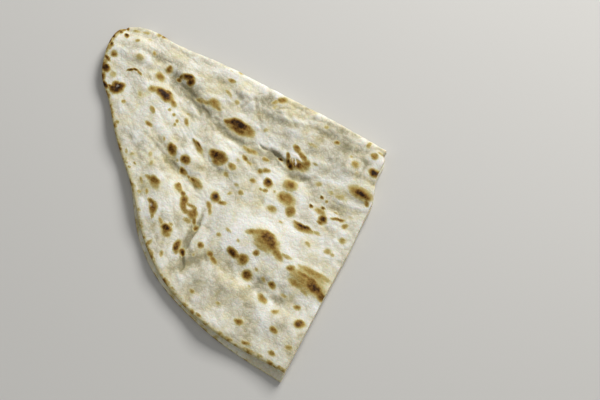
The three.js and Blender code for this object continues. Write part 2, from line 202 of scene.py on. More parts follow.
NEAR_MARKS = [
    (-95.8, -82.8, 3.3, 2, -28, 0.54), (-96.9, -81, 1.5, 1.1, 0, 0.66), (-91.8, -84.4, 2.3, 1.3, -30, 0.64),
    (-88.6, -87.6, 3.4, 2.4, -55, 0.7), (-87.2, -91.2, 3.2, 2, -35, 0.58), (-84, -93, 3.2, 1.5, -8, 0.54),
    (-83.2, -88.4, 3.6, 1, 2, 0.54), (-79.8, -92.8, 3.2, 2.9, -45, 0.68), (-80, -89.6, 1.8, 1.3, -50, 0.5),
    (-76.8, -96, 2.6, 1.1, -50, 0.58), (-80.2, -97.9, 3.2, 1.3, 5, 0.46), (-58.9, -96.4, 1.7, 1.4, 0, 0.42),
    (-55.8, -91.1, 2.1, 1.1, -10, 0.38), (-47.4, -93.8, 1.3, 0.9, 0, 0.34), (-64.9, -107.4, 2, 1.7, 0, 0.72),
    (-65.8, -114.5, 1, 0.9, 0, 0.4), (-57.8, -109.2, 2, 1.8, -30, 0.78), (-54, -111.6, 3.2, 1.6, -28, 0.56),
    (-88.5, -107.9, 3.3, 2.1, -8, 0.92), (-87.2, -110.8, 2.8, 2.3, 0, 0.56),
    (-87.7, -104.4, 1.5, 0.9, 0, 0.5), (-93.8, -105.5, 3, 0.9, -54, 0.46),
    (-104.9, -97.6, 2.8, 1.1, -15, 0.72), (-102, -100.6, 4, 2.1, -55, 0.78),
    (-99.8, -104.6, 2.2, 1.1, -65, 0.5), (-110.6, -85, 3.4, 2.2, -25, 0.78),
    (-115, -84.8, 2.6, 1.3, 5, 0.56), (-110, -86.2, 4.6, 2.6, -38, 0.5), (-117.7, -89, 2.3, 0.8, -50, 0.48),
    (-111, -93.6, 2.2, 1, -48, 0.5), (-115.1, -95.7, 1.4, 1, 0, 0.44), (-127.5, -81.5, 1.4, 0.6, -20, 0.54),
    (-129, -85, 1.4, 0.6, -20, 0.54), (-122.2, -71.7, 2, 1.1, -55, 0.37), (-118.4, -76.3, 1.3, 1.8, 0, 0.37),
    (-136.5, -76.5, 2, 0.8, -50, 0.37), (-132, -77, 1.8, 1.6, 0, 0.29), (-151.5, -63, 1.4, 1.1, 0, 0.62),
    (-142, -75.8, 1.2, 1, 0, 0.55), (-137, -82, 1.6, 1.1, -30, 0.62), (-119.2, -97, 2, 1.7, -45, 0.54),
    (-92.6, -120.8, 2.4, 1.4, 75, 0.56), (-96.7, -119.6, 1.3, 0.9, 0, 0.62),
    (-82.3, -123.4, 1.9, 1, -50, 0.43), (-77, -114.8, 3.8, 2, 104, 0.84), (-75.6, -117, 2.6, 1.3, 100, 0.52),
    (-72.2, -116.3, 2, 1.8, -30, 0.93), (-73.6, -98.8, 1.7, 1.4, 90, 0.7), (-46.3, -101.7, 4, 2.2, -15, 0.9),
    (-39.2, -102.8, 3.3, 3.3, 0, 0.68), (-42.8, -102.6, 2, 1.2, 0, 0.62), (-32, -110.4, 3.2, 3.2, 0, 0.84),
    (-16.3, -108.5, 2.7, 1.8, -12, 0.76), (-22.5, -107.8, 2.2, 1.2, -25, 0.44),
    (-34.5, -95.4, 2, 1.9, 90, 0.66), (-28.7, -104.5, 1.4, 1.2, 0, 0.4), (-27.7, -115.9, 1.1, 0.9, 0, 0.34),
    (-17, -118.6, 3.8, 2, -20, 0.56), (-6.8, -110.8, 2.6, 1, 5, 0.42), (-7, -122, 2.2, 1.3, 20, 0.48),
    (3, -113.5, 2, 1.4, 0, 0.55), (9, -121, 3.2, 2.2, 15, 0.8), (-2, -131, 2.6, 1.7, -20, 0.7),
    (11, -136, 2, 1.5, 0, 0.5), (-38, -133, 1.8, 1.2, 0, 0.46), (-22, -137, 2.6, 1.6, 10, 0.72),
    (-55, -134.5, 2, 1.2, -10, 0.5), (4, -144, 2.4, 1.3, 0, 0.6), (-12, -146, 2.6, 1, 0, 0.66),
    (-44, -145, 2.2, 0.9, -10, 0.6),
]
LARGE_PATCH_MARKS = [
    (-32.2, -87, 9.4, 5.4, -16, 0.52), (-32.6, -84.8, 6.2, 3.3, -12, 0.8), (-40.8, -84.2, 6, 1.7, 24, 0.52),
    (-35, -82.2, 5.6, 1.6, 6, 0.64), (-29, -87, 4, 3, -40, 0.74), (-23.8, -90.2, 5.2, 2.5, -32, 0.58),
    (-17.8, -88.8, 3.6, 1.3, 0, 0.42), (-32.5, -91.2, 6, 1.9, -4, 0.42), (2, -90.6, 11, 1.9, 0, 0.5),
    (2, -98, 12.6, 5.2, -7, 0.5), (2, -92.6, 10, 2.2, -3, 0.36), (-3, -94.5, 4.6, 1.3, 2, 0.68),
    (4.4, -96.4, 6.4, 2.4, -18, 0.66), (6.2, -98.9, 6.2, 3, -12, 0.84), (-11.8, -94.2, 2.7, 2.2, 0, 0.62),
    (-4.6, -101.4, 5.6, 2, -12, 0.52), (12.4, -101.2, 3, 2.4, 0, 0.74), (2, -103.6, 3.4, 1.3, -10, 0.44),
]
SHOWN_MARKS = TIP_MARKS + FOLD_MARKS + MIDDLE_MARKS + BLISTER_TEAR_MARKS + NEAR_MARKS + LARGE_PATCH_MARKS

# Places where the crust is torn open or rubbed pale: x, y, half-length, half-width, turn, share.
PALE_PLACES = [
    (-46.2, -29.2, 3.8, 1.5, -6, 1), (-41.8, -30.2, 1.8, 0.7, -10, 0.9), (-43.2, -32.8, 3, 0.45, -60, 0.95),
    (-45.6, -32.4, 2, 0.35, -62, 0.7), (-83.6, -90.6, 2.2, 0.9, -8, 0.3), (-104.2, -99, 1.4, 0.6, -30, 0.3),
    (-165.2, -42, 1.1, 0.9, 0, 0.3),
]

# Creases in the shown face, in millimetres: half-width, depth, and the places that each runs through.
CREASES = [
    (3.1, 0.6, [(-146, -14.5), (-138, -17.5), (-127, -22), (-116, -27), (-105, -31.5), (-92, -35)]),
    (2.4, 0.6, [(-104, -31), (-95, -35), (-86, -37.5), (-77, -37), (-68, -35)]),
    (0.8, 0.8, [(-69, -33.8), (-64, -34.1), (-57, -34.3)]),
    (2.2, 2.0, [(-62, -33.8), (-57, -34.4), (-51, -35.2), (-45, -37)]),
    (2.6, 0.7, [(-56, -37), (-49, -40), (-42, -41.5), (-34, -40), (-26, -37.5)]),
    (2.2, 0.5, [(-136, -60), (-120, -65.5), (-108, -70), (-97, -73.5), (-88, -77.5), (-78, -79)]),
    (1.5, 1.5, [(-75.4, -86), (-74.2, -94), (-73.2, -102), (-73, -110), (-71, -118), (-65.5, -129)]),
    (1.2, 0.4, [(-97, -98), (-90.5, -108), (-84, -122)]),
    (2.0, 0.45, [(-92, -56), (-84, -59.5), (-74, -61.5)]),
    (1.3, 0.28, [(-25, -37), (-18, -43), (-8, -44.8), (9, -41.5)]),
    (0.9, 0.4, [(-101, -31), (-94.5, -36)]),
    (1.1, 0.25, [(-94, -24), (-86, -8), (-77, -20)]),
]

# Low swells and hollows of the crust itself: middle x, y, half-width along and across, turn,
# height.
LOW_SWELLS = [
    (-96, -8, 9, 4, -12, 0.8), (-66, -10, 8, 4, -20, 0.7), (-28, -4, 20, 3.5, -2, 0.25),
    (-28, -13, 18, 4, -4, -0.3), (-38, -17, 18, 4, -3, 0.4), (-14, -22, 9, 5, -25, 0.6),
    (-12, -105, 16, 4.5, -5, 0.8), (-132, -15, 8, 5, -20, 0.6), (-66, -102, 5, 9, -5, -0.5),
    (-58, -62, 9, 5, 10, 0.5), (-24, -61, 12, 6, 0, 0.6), (-118, -78, 9, 6, -40, 0.7),
    (-150, -52, 9, 6, -45, 0.6), (-84, -116, 5, 14, 20, 0.5), (-40, -127, 8, 4, 0, -0.6),
    (-20, -77, 14, 5, -4, 0.5), (-60, -80, 8, 9, 0, 0.5), (-3, -62, 9, 6, 10, 0.4),
    (-72, -66, 5, 7, 0, -0.5), (-8, -48, 14, 3, 3, -0.2), (-42, -42, 12, 3.5, -8, -0.7),
    (-86, -23, 9, 4, 0, 0.5),
]

# Broad places painted lighter or darker through the flour field: more flour or less, painted light on raised
# places, and painted shade in valleys, creases and the cavity beside the torn blister. Middle x, y,
# half-width along and across, turn, and how much more.
FLOURY_AND_SHADED_PLACES = [
    (-50, -86, 28, 15, 0, 0.28), (-15, -76, 24, 11, 0, 0.22), (-54, -93, 13, 8, 0, 0.2),
    (-140, -47, 20, 10, -40, 0.2), (-126, -12, 16, 6, -16, 0.25), (-86, -22, 9, 3.5, 0, 0.2),
    (-170, -25, 9, 7, 0, 0.2), (-112, -42, 16, 5, -35, 0.15), (-45, -29.5, 5, 2, 0, 0.4),
    (-75, -8, 13, 8, -8, -0.3), (-18, -11, 28, 9, -4, -0.2), (-36, -17, 16, 3, -2, 0.25),
    (-54, -18, 9, 3, -5, 0.35), (-15, -2, 20, 3, 0, -0.25), (-88, -36, 26, 3.5, -4, -0.5),
    (-50, -39, 18, 3.5, -4, -0.2), (-53.5, -35, 4.5, 1.6, -8, -0.7), (-125, -23, 14, 3, -25, -0.25),
    (-103, -28, 8, 4, -10, -0.35), (-75, -105, 2.0, 10, 3, -0.6), (-66.5, -122, 5.5, 9, 24, -0.42),
    (-66.5, -99.5, 3.5, 6, 0, -0.4), (-57, -112, 4, 4, 0, -0.35), (-20, -114, 15, 5, 0, -0.35),
    (-108, -69, 18, 3.5, -25, -0.25), (-40, -108, 12, 4, 0, -0.15), (-12, -34, 9, 4, 0, 0.1),
    (-60, -45, 12, 5, 0, -0.15), (-15, -49, 12, 3, 0, -0.1),
]

# Baking marks of the hidden face, which is the same side of the bread turned down. They are strewn
# over it by a seeded rule, in millimetres and degrees.
UNDER_MARK_COUNT = 150
UNDER_MARK_SEED = 7
UNDER_MARK_CLEARANCE = 6.0
UNDER_MARK_X, UNDER_MARK_Y, UNDER_MARK_TURN = (-187, 16), (10, 165), (-60, 30)
UNDER_MARK_SHORTEST, UNDER_MARK_LONGEST = 1.0, 7.0
UNDER_MARK_LONGER = (0.1, 0.6)  # mean and spread of the log of what a half-length adds to the shortest
UNDER_MARK_WIDTH = (0.4, 0.85)  # half-width as a share of the half-length
UNDER_MARK_BAKED, UNDER_MARK_BAKED_MOST = 0.32, 0.98
UNDER_MARK_BROWNER = (0.11, 0.3)  # more for each millimetre of half-length, and most that chance adds

# ---------------------------------------------------------------------------
# Fine relief of the crust

WAVES = [(22 * MM, 0.50 * MM), (11 * MM, 0.24 * MM)]  # widths and heights of loose waves
# The same for wrinkles with round tops and creases between, and for a fine grain.
PUCKERS = [(8.0 * MM, 0.54 * MM), (4.4 * MM, 0.38 * MM), (2.5 * MM, 0.17 * MM)]
GRAIN = [(2.8 * MM, 0.16 * MM), (1.6 * MM, 0.07 * MM)]
PUCKER_STRETCH = 2.0  # how much longer than wide the wrinkles are
PUCKER_POLE = MM * np.array([-260.0, 30.0])  # plan place that the wrinkles run out from
PUCKER_SPREAD = 170 * MM  # distance from it at which they have their stated width
PUCKER_MEAN = 0.3
PUCKER_WARP = 2.2 * MM  # how far the wrinkles wander
PUCKER_WARP_SIZE = 13 * MM
RELIEF_SHADE_HEIGHT = 1.3 * MM  # relief that makes the difference between grey hollows, where shade is painted, and white floury tops
SMOOTHING = 2.0  # how much smoother the places painted lighter are, and how much rougher those painted darker
ROUGHNESS_RANGE = (0.35, 1.35)
RIPPLE_LENGTH = 26 * MM
RIPPLE_WIDTH = 4.6 * MM
RIPPLE_HEIGHT = 0.42 * MM
RIPPLE_SLANT = 9  # degrees from the fold
RIPPLE_FADE = (20 * MM, 45 * MM)
SEEN_LEVEL = 4 * MM  # height of the middle of the sheet at which the marks' plan places are as seen
MARK_WARP = 0.55 * MM
MARK_WARP_SIZE = 3.4 * MM
CREASE_WARP = 0.9 * MM
CREASE_WARP_SIZE = 10 * MM
MARK_EDGE = (0.46, 1.62)  # where a mark's browning starts to fade and ends, 1 being its size
CORE_EDGE = (0.2, 1.35)  # the same for its darker core
CORE_SHARE = 0.3
CORE_SHIFT = 0.2  # how far the core is off the mark's middle
SURROUND_LEVEL = 0.19  # the straw-coloured surround of a mark
SURROUND_REACH = 1.7
PALE_EDGE = (0.6, 1.2)  # where a torn or rubbed place starts to fade and ends, 1 being its size
RING_FROM = 1.8  # half-width in millimetres from which a mark has a lighter ring round it
RING_REACH, RING_WIDTH, RING_LIGHTENING = 1.75, 0.5, 0.3
BLISTER_RISE = 0.16  # height of a mark's blister, as a share of its half-width
BLISTER_MOST = 0.75 * MM
BLISTER_NARROWNESS = 0.8
TEAR_RISE = 0.35 * MM
CREASE_LIP = 0.12  # height of the lip beside a crease, as a share of its depth
CREASE_LIP_PLACE = 1.5
CREASE_STEEP = 0.6
UNDER_RELIEF_DROP = 0.3 * MM  # how far the underside's hollows are kept off the surface below
RIM_BROWNING = 3.2 * MM  # width of the browned band along the rim
RIM_RELIEF = 0.35  # share of the relief that is left at the rim
MEAN_FLOUR, INSIDE_FLOUR = 0.5, 0.6

# Seeds of the noises, some of which take the next numbers too.
WAVE_SEED, MARK_WARP_SEED, CREASE_WARP_SEED, PUCKER_WARP_SEED = 11, 21, 25, 27
RIPPLE_SEED, GRAIN_SEED, CRUMB_SEED, PUCKER_SEED = 31, 41, 51, 61
LATTICE_CELLS = 128
LATTICE_TURN = 37.0  # degrees, times the seed

# Mesh density of the outer face. The inner face keeps every third row and column.
ROWS = 282
ROW_CROWDING = 1.2
TOP_COLUMNS = 192
UNDER_COLUMNS = 72
RIM_COLUMNS = 6
RIM_CROWDING = 1.5
RIM_BAND_MOST = 0.3  # most that the rim band takes of a narrow row
FOLD_STEPS = 12
COARSER = 3

# Walls along the rims and the cut.
WALL_STEPS = 5
RIM_BULGE = 0.35 * MM
CUT_BULGE = 0.22 * MM
CRUMB_SIZE = 1.3 * MM
CRUMB_HEIGHT = 0.22 * MM
WALL_NOISE_STEP = 0.55 * MM

# Bake map: islands' lower left corners and their scales, per metre of bread.
OUTER_CORNER, OUTER_SCALE = (0.01, 0.01), 2.9
INNER_CORNER, INNER_SCALE = (0.64, 0.01), 1.55
WALL_CORNER = (0.64, 0.60)
WALL_STRIPS = 6
WALL_STRIP_LENGTH = 0.34
WALL_STRIP_HEIGHT = 0.03
WALL_STRIP_PITCH = 0.04

SHARP_FROM = math.radians(50)
TINY = 1e-12

# ---------------------------------------------------------------------------
# Camera and light

CAMERA_TURN = math.radians(29.46)
CAMERA_ELEVATION = math.radians(66)
CAMERA_DISTANCE = 0.8
CAMERA_LENS = 80.0
CAMERA_SENSOR = 36.0
CAMERA_TARGET = MM * np.array([-30.0, -51.35])  # plan place at the middle of the picture


# ---------------------------------------------------------------------------
# Small helpers

def blend(a, b, share):
    return a + (b - a) * share


def smooth_step(low, high, value):
    share = np.clip((value - low) / (high - low), 0.0, 1.0)
    return share * share * (3.0 - 2.0 * share)


def soft_floor(value, softness):
    """Follows value above zero and flattens to nothing below it."""
    settled = 0.5 * (value + np.hypot(value, softness))
    return settled - 0.5 * softness * np.exp(-np.abs(value) / softness)


def turned(x, y, degrees):
    """x and y along and across an axis turned from +x."""
    turn = math.radians(degrees)
    return x * math.cos(turn) + y * math.sin(turn), y * math.cos(turn) - x * math.sin(turn)


def bell_heights(bells, x, y):
    """Height of bell-shaped swells, given in millimetres, over plan places in metres."""
    total = np.zeros_like(x)
    for middle_x, middle_y, along, across, turn, height in bells:
        a, b = turned(x - middle_x * MM, y - middle_y * MM, turn)
        total += height * MM * np.exp(-((a / (along * MM)) ** 2) - (b / (across * MM)) ** 2)
    return total


def lattice_noise(x, y, size, seed):
    """Smooth noise from -1 to 1 with features about size wide."""
    table = np.random.default_rng(seed).uniform(-1.0, 1.0, (LATTICE_CELLS, LATTICE_CELLS))
    a, b = turned(x / size, y / size, LATTICE_TURN * seed)
    left = np.floor(a).astype(int)
    low = np.floor(b).astype(int)
    share_a = smooth_step(0.0, 1.0, a - left)
    share_b = smooth_step(0.0, 1.0, b - low)

    def corner(step_a, step_b):
        return table[(left + step_a) % LATTICE_CELLS, (low + step_b) % LATTICE_CELLS]

    near = blend(corner(0, 0), corner(1, 0), share_a)
    far = blend(corner(0, 1), corner(1, 1), share_a)
    return blend(near, far, share_b)


def warped(x, y, size, reach, seed):
    """Places pushed about by up to reach."""
    push_x = reach * lattice_noise(x, y, size, seed)
    push_y = reach * lattice_noise(x, y, size, seed + 1)
    return x + push_x, y + push_y


def layered_noise(x, y, layers, seed):
    """Sum of noises, each given by its width and its height."""
    return sum(height * lattice_noise(x, y, size, seed + k) for k, (size, height) in enumerate(layers))


class PlanCurve:
    """A centripetal curve through plan points, read by its share of the whole length."""

    STEPS = 60

    def __init__(self, points):
        given = np.asarray(points, float)
        knots = np.vstack([2 * given[0] - given[1], given, 2 * given[-1] - given[-2]])
        share = np.linspace(0.0, 1.0, self.STEPS, endpoint=False)[:, None]
        spans = [self.span(*knots[k:k + 4], share) for k in range(len(given) - 1)]
        self.places = np.vstack([*spans, given[-1:]])
        steps = np.linalg.norm(np.diff(self.places, axis=0), axis=1)
        self.length = steps.sum()
        self.shares = np.concatenate([[0.0], np.cumsum(steps)]) / self.length
        tangents = np.gradient(self.places, self.shares, axis=0)
        tangents /= np.linalg.norm(tangents, axis=1, keepdims=True)
        self.normals = np.stack([-tangents[:, 1], tangents[:, 0]], axis=1)

    @staticmethod
    def span(before, start, end, after, share):
        first = math.sqrt(np.linalg.norm(start - before))
        middle = math.sqrt(np.linalg.norm(end - start))
        last = math.sqrt(np.linalg.norm(after - end))
        leave = middle * ((start - before) / first - (end - before) / (first + middle)) + (end - start)
        arrive = (end - start) + middle * ((after - end) / last - (after - start) / (middle + last))
        cubic = 2 * start - 2 * end + leave + arrive
        square = -3 * start + 3 * end - 2 * leave - arrive
        return ((cubic * share + square) * share + leave) * share + start

    def read(self, values, share):
        return np.stack([np.interp(share, self.shares, values[:, k]) for k in (0, 1)], axis=-1)

    def place(self, share):
        return self.read(self.places, share)

    def left(self, share):
        return self.read(self.normals, share)


# ---------------------------------------------------------------------------
# Outline of each layer: u runs from the tip (0) to the cut (1), v from the fold to the rim

def fold_radius(u):
    return blend(FOLD_RADIUS_AT_TIP, FOLD_RADIUS_AT_CUT, u)


def thickness(from_rim):
    share = np.minimum(from_rim / RIM_BAND, 1.0)
    return blend(RIM_EDGE, SHEET, np.sqrt(1.0 - (1.0 - share) ** 2))


FOLD_CURVE = PlanCurve(FOLD_LINE)


def fold_axis(u):
    inset = fold_radius(u) + thickness(u * FOLD_CURVE.length) / 2
    return FOLD_CURVE.place(u) - FOLD_CURVE.left(u) * np.asarray(inset)[..., None]


POLE = fold_axis(0.0)
RIM_CURVE = PlanCurve(np.vstack([POLE, RIM_LINE]))
CUT_CURVE = PlanCurve(CUT_LINE)


def rim_place(layer, u):
    place = RIM_CURVE.place(u)
    if layer == "under":
        wave = UNDER_RIM_WAVE * np.sin(UNDER_RIM_WAVES * math.pi * u)
        shift = (blend(UNDER_RIM_AT_TIP, UNDER_RIM_AT_CUT, u) + wave) * smooth_step(0.0, UNDER_RIM_PARTS, u)
        place = place - RIM_CURVE.left(u) * np.asarray(shift)[..., None]
    return place


def cut_place(layer, v):
    at_fold = fold_axis(1.0) - CUT_CURVE.place(0.0)
    at_rim = rim_place(layer, 1.0) - CUT_CURVE.place(1.0)
    return CUT_CURVE.place(v) + blend(at_fold, at_rim, np.asarray(v)[..., None])


def from_pole(place):
    offset = place - POLE
    return np.hypot(offset[..., 0], offset[..., 1]), np.arctan2(offset[..., 1], offset[..., 0])


def layer_plan(layer, u, v):
    """Plan places of a layer, blended between its sides in polar coordinates about the pole."""
    sides = (
        from_pole(fold_axis(u)), from_pole(rim_place(layer, u)), from_pole(cut_place(layer, v)),
        from_pole(cut_place(layer, 0.0)), from_pole(cut_place(layer, 1.0)),
    )
    radius, angle = (
        blend(fold, rim, v) + u * (cut - blend(cut_at_fold, cut_at_rim, v))
        for fold, rim, cut, cut_at_fold, cut_at_rim in zip(*sides)
    )
    return POLE[0] + radius * np.cos(angle), POLE[1] + radius * np.sin(angle)


# ---------------------------------------------------------------------------
# Heights of the middle of the sheet

def under_height(x, y, from_fold):
    swell = np.maximum(bell_heights(UNDER_SWELLS, x, y) - UNDER_FLAT_BELOW, 0.0)
    lift = swell * swell / (swell + UNDER_FLAT_BELOW)
    return SHEET / 2 + lift * smooth_step(0.0, RIM_RISE_REACH, from_fold)


def rim_rise(u, from_rim):
    wave = 0.5 - 0.5 * np.cos(2 * math.pi * RIM_RISES * u)
    return RIM_RISE * wave * np.exp(-from_rim / RIM_RISE_REACH)


def top_height(x, y, u, from_fold, from_rim):
    reach = blend(FOLD_REACH_AT_TIP, FOLD_REACH_AT_CUT, u)
    fold_lift = 2 * fold_radius(u) - SHEET - LAYER_GAP
    crest = fold_lift * (1.0 - smooth_step(FOLD_PLATEAU * reach, reach, from_fold))
    waves = layered_noise(x, y, WAVES, WAVE_SEED)
    loose = soft_floor(bell_heights(TOP_SWELLS, x, y) + rim_rise(u, from_rim) + waves, FLATTENING)
    free = smooth_step(0.0, reach / 2, from_fold)
    return under_height(x, y, from_fold) + SHEET + LAYER_GAP + crest + loose * free


# ---------------------------------------------------------------------------
# The grid across the folded sheet: under rim, under layer, fold, top layer, top rim

class Sheet:
    """Middle surface of the folded sheet, on a grid of rows (tip to cut) and columns."""

    def __init__(self):
        self.u = ((np.arange(ROWS + 1) / ROWS) ** ROW_CROWDING)[:, None]
        under = [values[:, ::-1] for values in self.layer("under", UNDER_COLUMNS)]
        fold = self.fold()
        top = self.layer("top", TOP_COLUMNS)
        joined = [np.concatenate(values, axis=1) for values in zip(under, fold, top)]
        self.x, self.y, self.z, self.rolled_y, self.from_fold, self.from_rim = joined
        self.columns = self.x.shape[1]
        self.under_pole = under[0].shape[1] - 1
        self.top_pole = self.under_pole + FOLD_STEPS
        self.is_top = np.broadcast_to(np.arange(self.columns) >= self.top_pole, self.x.shape)
        self.is_under = np.broadcast_to(np.arange(self.columns) <= self.under_pole, self.x.shape)

    def layer(self, name, columns):
        span = np.linalg.norm(rim_place(name, self.u) - fold_axis(self.u), axis=-1)
        band = np.minimum(RIM_BAND / np.maximum(span, MM), RIM_BAND_MOST)
        body = (1.0 - band) * np.linspace(0.0, 1.0, columns + 1)
        rim = 1.0 - band * (1.0 - np.linspace(0.0, 1.0, RIM_COLUMNS + 1)[1:]) ** RIM_CROWDING
        v = np.concatenate([body, rim], axis=1)
        x, y = layer_plan(name, self.u, v)
        from_fold = v * span
        from_rim = np.minimum((1.0 - v) * span, np.hypot(x - POLE[0], y - POLE[1]))
        if name == "top":
            return x, y, top_height(x, y, self.u, from_fold, from_rim), y, from_fold, from_rim
        rolled_y = 2 * fold_axis(self.u)[..., 1] + math.pi * fold_radius(self.u) - y
        return x, y, under_height(x, y, from_fold), rolled_y, from_fold, from_rim

    def fold(self):
        angle = math.pi * (np.arange(1, FOLD_STEPS) / FOLD_STEPS - 0.5)[None, :]
        axis = fold_axis(self.u)
        outward = FOLD_CURVE.left(self.u)
        radius = fold_radius(self.u)
        x = axis[..., 0] + outward[..., 0] * radius * np.cos(angle)
        y = axis[..., 1] + outward[..., 1] * radius * np.cos(angle)
        z = SHEET / 2 + radius * (1.0 + np.sin(angle))
        rolled_y = axis[..., 1] + radius * (math.pi / 2 - angle)
        from_rim = np.broadcast_to(np.linalg.norm(axis - POLE, axis=-1), x.shape)
        return x, y, z, rolled_y, np.zeros_like(x), from_rim

    def normals(self):
        """Normals of the middle surface that point out of the folded sheet."""
        middle = np.stack([self.x, self.y, self.z], axis=-1)
        normal = np.cross(np.gradient(middle, axis=1), np.gradient(middle, axis=0))
        return normal / np.maximum(np.linalg.norm(normal, axis=-1, keepdims=True), TINY)


# ---------------------------------------------------------------------------
# Relief and baking of the outer face, over rolled-out places

def scattered_marks():
    """Baking marks strewn over the rolled-out under layer, spread like those that show."""
    random = np.random.default_rng(UNDER_MARK_SEED)
    marks = []
    while len(marks) < UNDER_MARK_COUNT:
        x = random.uniform(*UNDER_MARK_X)
        y = random.uniform(*UNDER_MARK_Y)
        clear = all(math.hypot(x - mark[0], y - mark[1]) > UNDER_MARK_CLEARANCE for mark in marks)
        along = min(UNDER_MARK_SHORTEST + random.lognormal(*UNDER_MARK_LONGER), UNDER_MARK_LONGEST)
        across = along * random.uniform(*UNDER_MARK_WIDTH)
        by_length, by_chance = UNDER_MARK_BROWNER
        baked = UNDER_MARK_BAKED + by_length * along + random.uniform(0.0, by_chance)
        if clear:
            turn = random.uniform(*UNDER_MARK_TURN)
            marks.append((x, y, along, across, turn, min(baked, UNDER_MARK_BAKED_MOST)))
    return marks


def seen_places(sheet):
    """Places by which the marks were read: what stands higher than SEEN_LEVEL seems further away."""
    lean = (sheet.z - SEEN_LEVEL) / math.tan(CAMERA_ELEVATION)
    return sheet.x - math.sin(CAMERA_TURN) * lean, sheet.rolled_y + math.cos(CAMERA_TURN) * lean


def from_mark(mark, x, y):
    """Places along and across a mark, 1 being its edge."""
    middle_x, middle_y, along, across, turn, _ = mark
    a, b = turned(x - middle_x * MM, y - middle_y * MM, turn)
    return a / (along * MM), b / (across * MM)


def mark_browning(darkness, a, b):
    """A mark's browning: a body, a darker core beside its middle, and a straw-coloured surround."""
    body = 1.0 - smooth_step(*MARK_EDGE, np.hypot(a, b))
    core = 1.0 - smooth_step(*CORE_EDGE, np.hypot(a + CORE_SHIFT, b - CORE_SHIFT))
    surround = np.exp(-((np.hypot(a, b) / SURROUND_REACH) ** 2))
    return np.maximum(darkness * blend(body, core, CORE_SHARE), SURROUND_LEVEL * surround)


def crease_relief(x, y):
    """Creases that are steep on their left side, where a lip stands over them."""
    relief = np.zeros_like(x)
    for width, deepest, places in CREASES:
        chain = MM * np.array(places)
        runs = np.diff(chain, axis=0)
        lengths = np.hypot(runs[:, 0], runs[:, 1])
        passed = np.concatenate([[0.0], np.cumsum(lengths)])
        away = np.full_like(x, np.inf)
        share = np.zeros_like(x)
        is_left = np.zeros_like(x, bool)
        for start, run, length, before in zip(chain, runs, lengths, passed):
            from_x = x - start[0]
            from_y = y - start[1]
            along = np.clip((from_x * run[0] + from_y * run[1]) / length, 0.0, length)
            reach = np.hypot(from_x - along * run[0] / length, from_y - along * run[1] / length)
            nearer = reach < away
            away = np.where(nearer, reach, away)
            share = np.where(nearer, (before + along) / passed[-1], share)
            is_left = np.where(nearer, run[0] * from_y > run[1] * from_x, is_left)
        away = away / (width * MM)
        hollow = np.exp(-(np.where(is_left, away / CREASE_STEEP, away) ** 2))
        lip = np.where(is_left, CREASE_LIP * np.exp(-((away - CREASE_LIP_PLACE) ** 2)), 0.0)
        taper = np.sqrt(np.sin(math.pi * share))
        change = deepest * MM * (lip - hollow) * taper
        relief = np.where(np.abs(change) > np.abs(relief), change, relief)
    return relief


def floury_places(sheet):
    """Broad places painted lighter or darker: flour, painted light on raised places, painted shade in valleys
    and creases.
    """
    shown = bell_heights(FLOURY_AND_SHADED_PLACES, sheet.x, sheet.y) / MM
    return np.where(sheet.is_under, 0.0, shown)


def ripples(sheet):
    """Long low folds beside the fold, where the bread was bent."""
    along, across = turned(sheet.x, sheet.rolled_y, RIPPLE_SLANT)
    waves = lattice_noise(along * RIPPLE_WIDTH / RIPPLE_LENGTH, across, RIPPLE_WIDTH, RIPPLE_SEED)
    return RIPPLE_HEIGHT * waves * (1.0 - smooth_step(*RIPPLE_FADE, sheet.from_fold))


def puckers(sheet):
    """Wrinkles of the crust: round tops with creases between, running out from beyond the tip."""
    x, y = warped(sheet.x, sheet.rolled_y, PUCKER_WARP_SIZE, PUCKER_WARP, PUCKER_WARP_SEED)
    offset_x = x - PUCKER_POLE[0]
    offset_y = y - PUCKER_POLE[1]
    along = np.hypot(offset_x, offset_y) / PUCKER_STRETCH
    across = np.arctan2(offset_y, offset_x) * PUCKER_SPREAD
    total = np.zeros_like(sheet.x)
    for k, (size, height) in enumerate(PUCKERS):
        total += height * (np.abs(lattice_noise(along, across, size, PUCKER_SEED + k)) - PUCKER_MEAN)
    return total * np.minimum(along * PUCKER_STRETCH / PUCKER_SPREAD, 1.0) ** 2


def baked_places(x, y):
    """How dark the marks are baked, how high they blister, and the lighter rings round them."""
    baked = np.zeros_like(x)
    rise = np.zeros_like(x)
    rings = np.zeros_like(x)
    for mark in SHOWN_MARKS + scattered_marks():
        across, darkness = mark[3], mark[5]
        a, b = from_mark(mark, x, y)
        reach = np.hypot(a, b)
        baked = np.maximum(baked, mark_browning(darkness, a, b))
        height = min(BLISTER_RISE * across * MM * darkness, BLISTER_MOST)
        rise = np.maximum(rise, height * np.exp(-BLISTER_NARROWNESS * reach * reach))
        if across > RING_FROM:
            rings = np.maximum(rings, RING_LIGHTENING * np.exp(-(((reach - RING_REACH) / RING_WIDTH) ** 2)))
    return baked, rise, rings


def pale_places(x, y):
    """How far the crust is torn open or rubbed pale."""
    pale = np.zeros_like(x)
    for place in PALE_PLACES:
        reach = np.hypot(*from_mark(place, x, y))
        pale = np.maximum(pale, place[5] * (1.0 - smooth_step(*PALE_EDGE, reach)))
    return pale


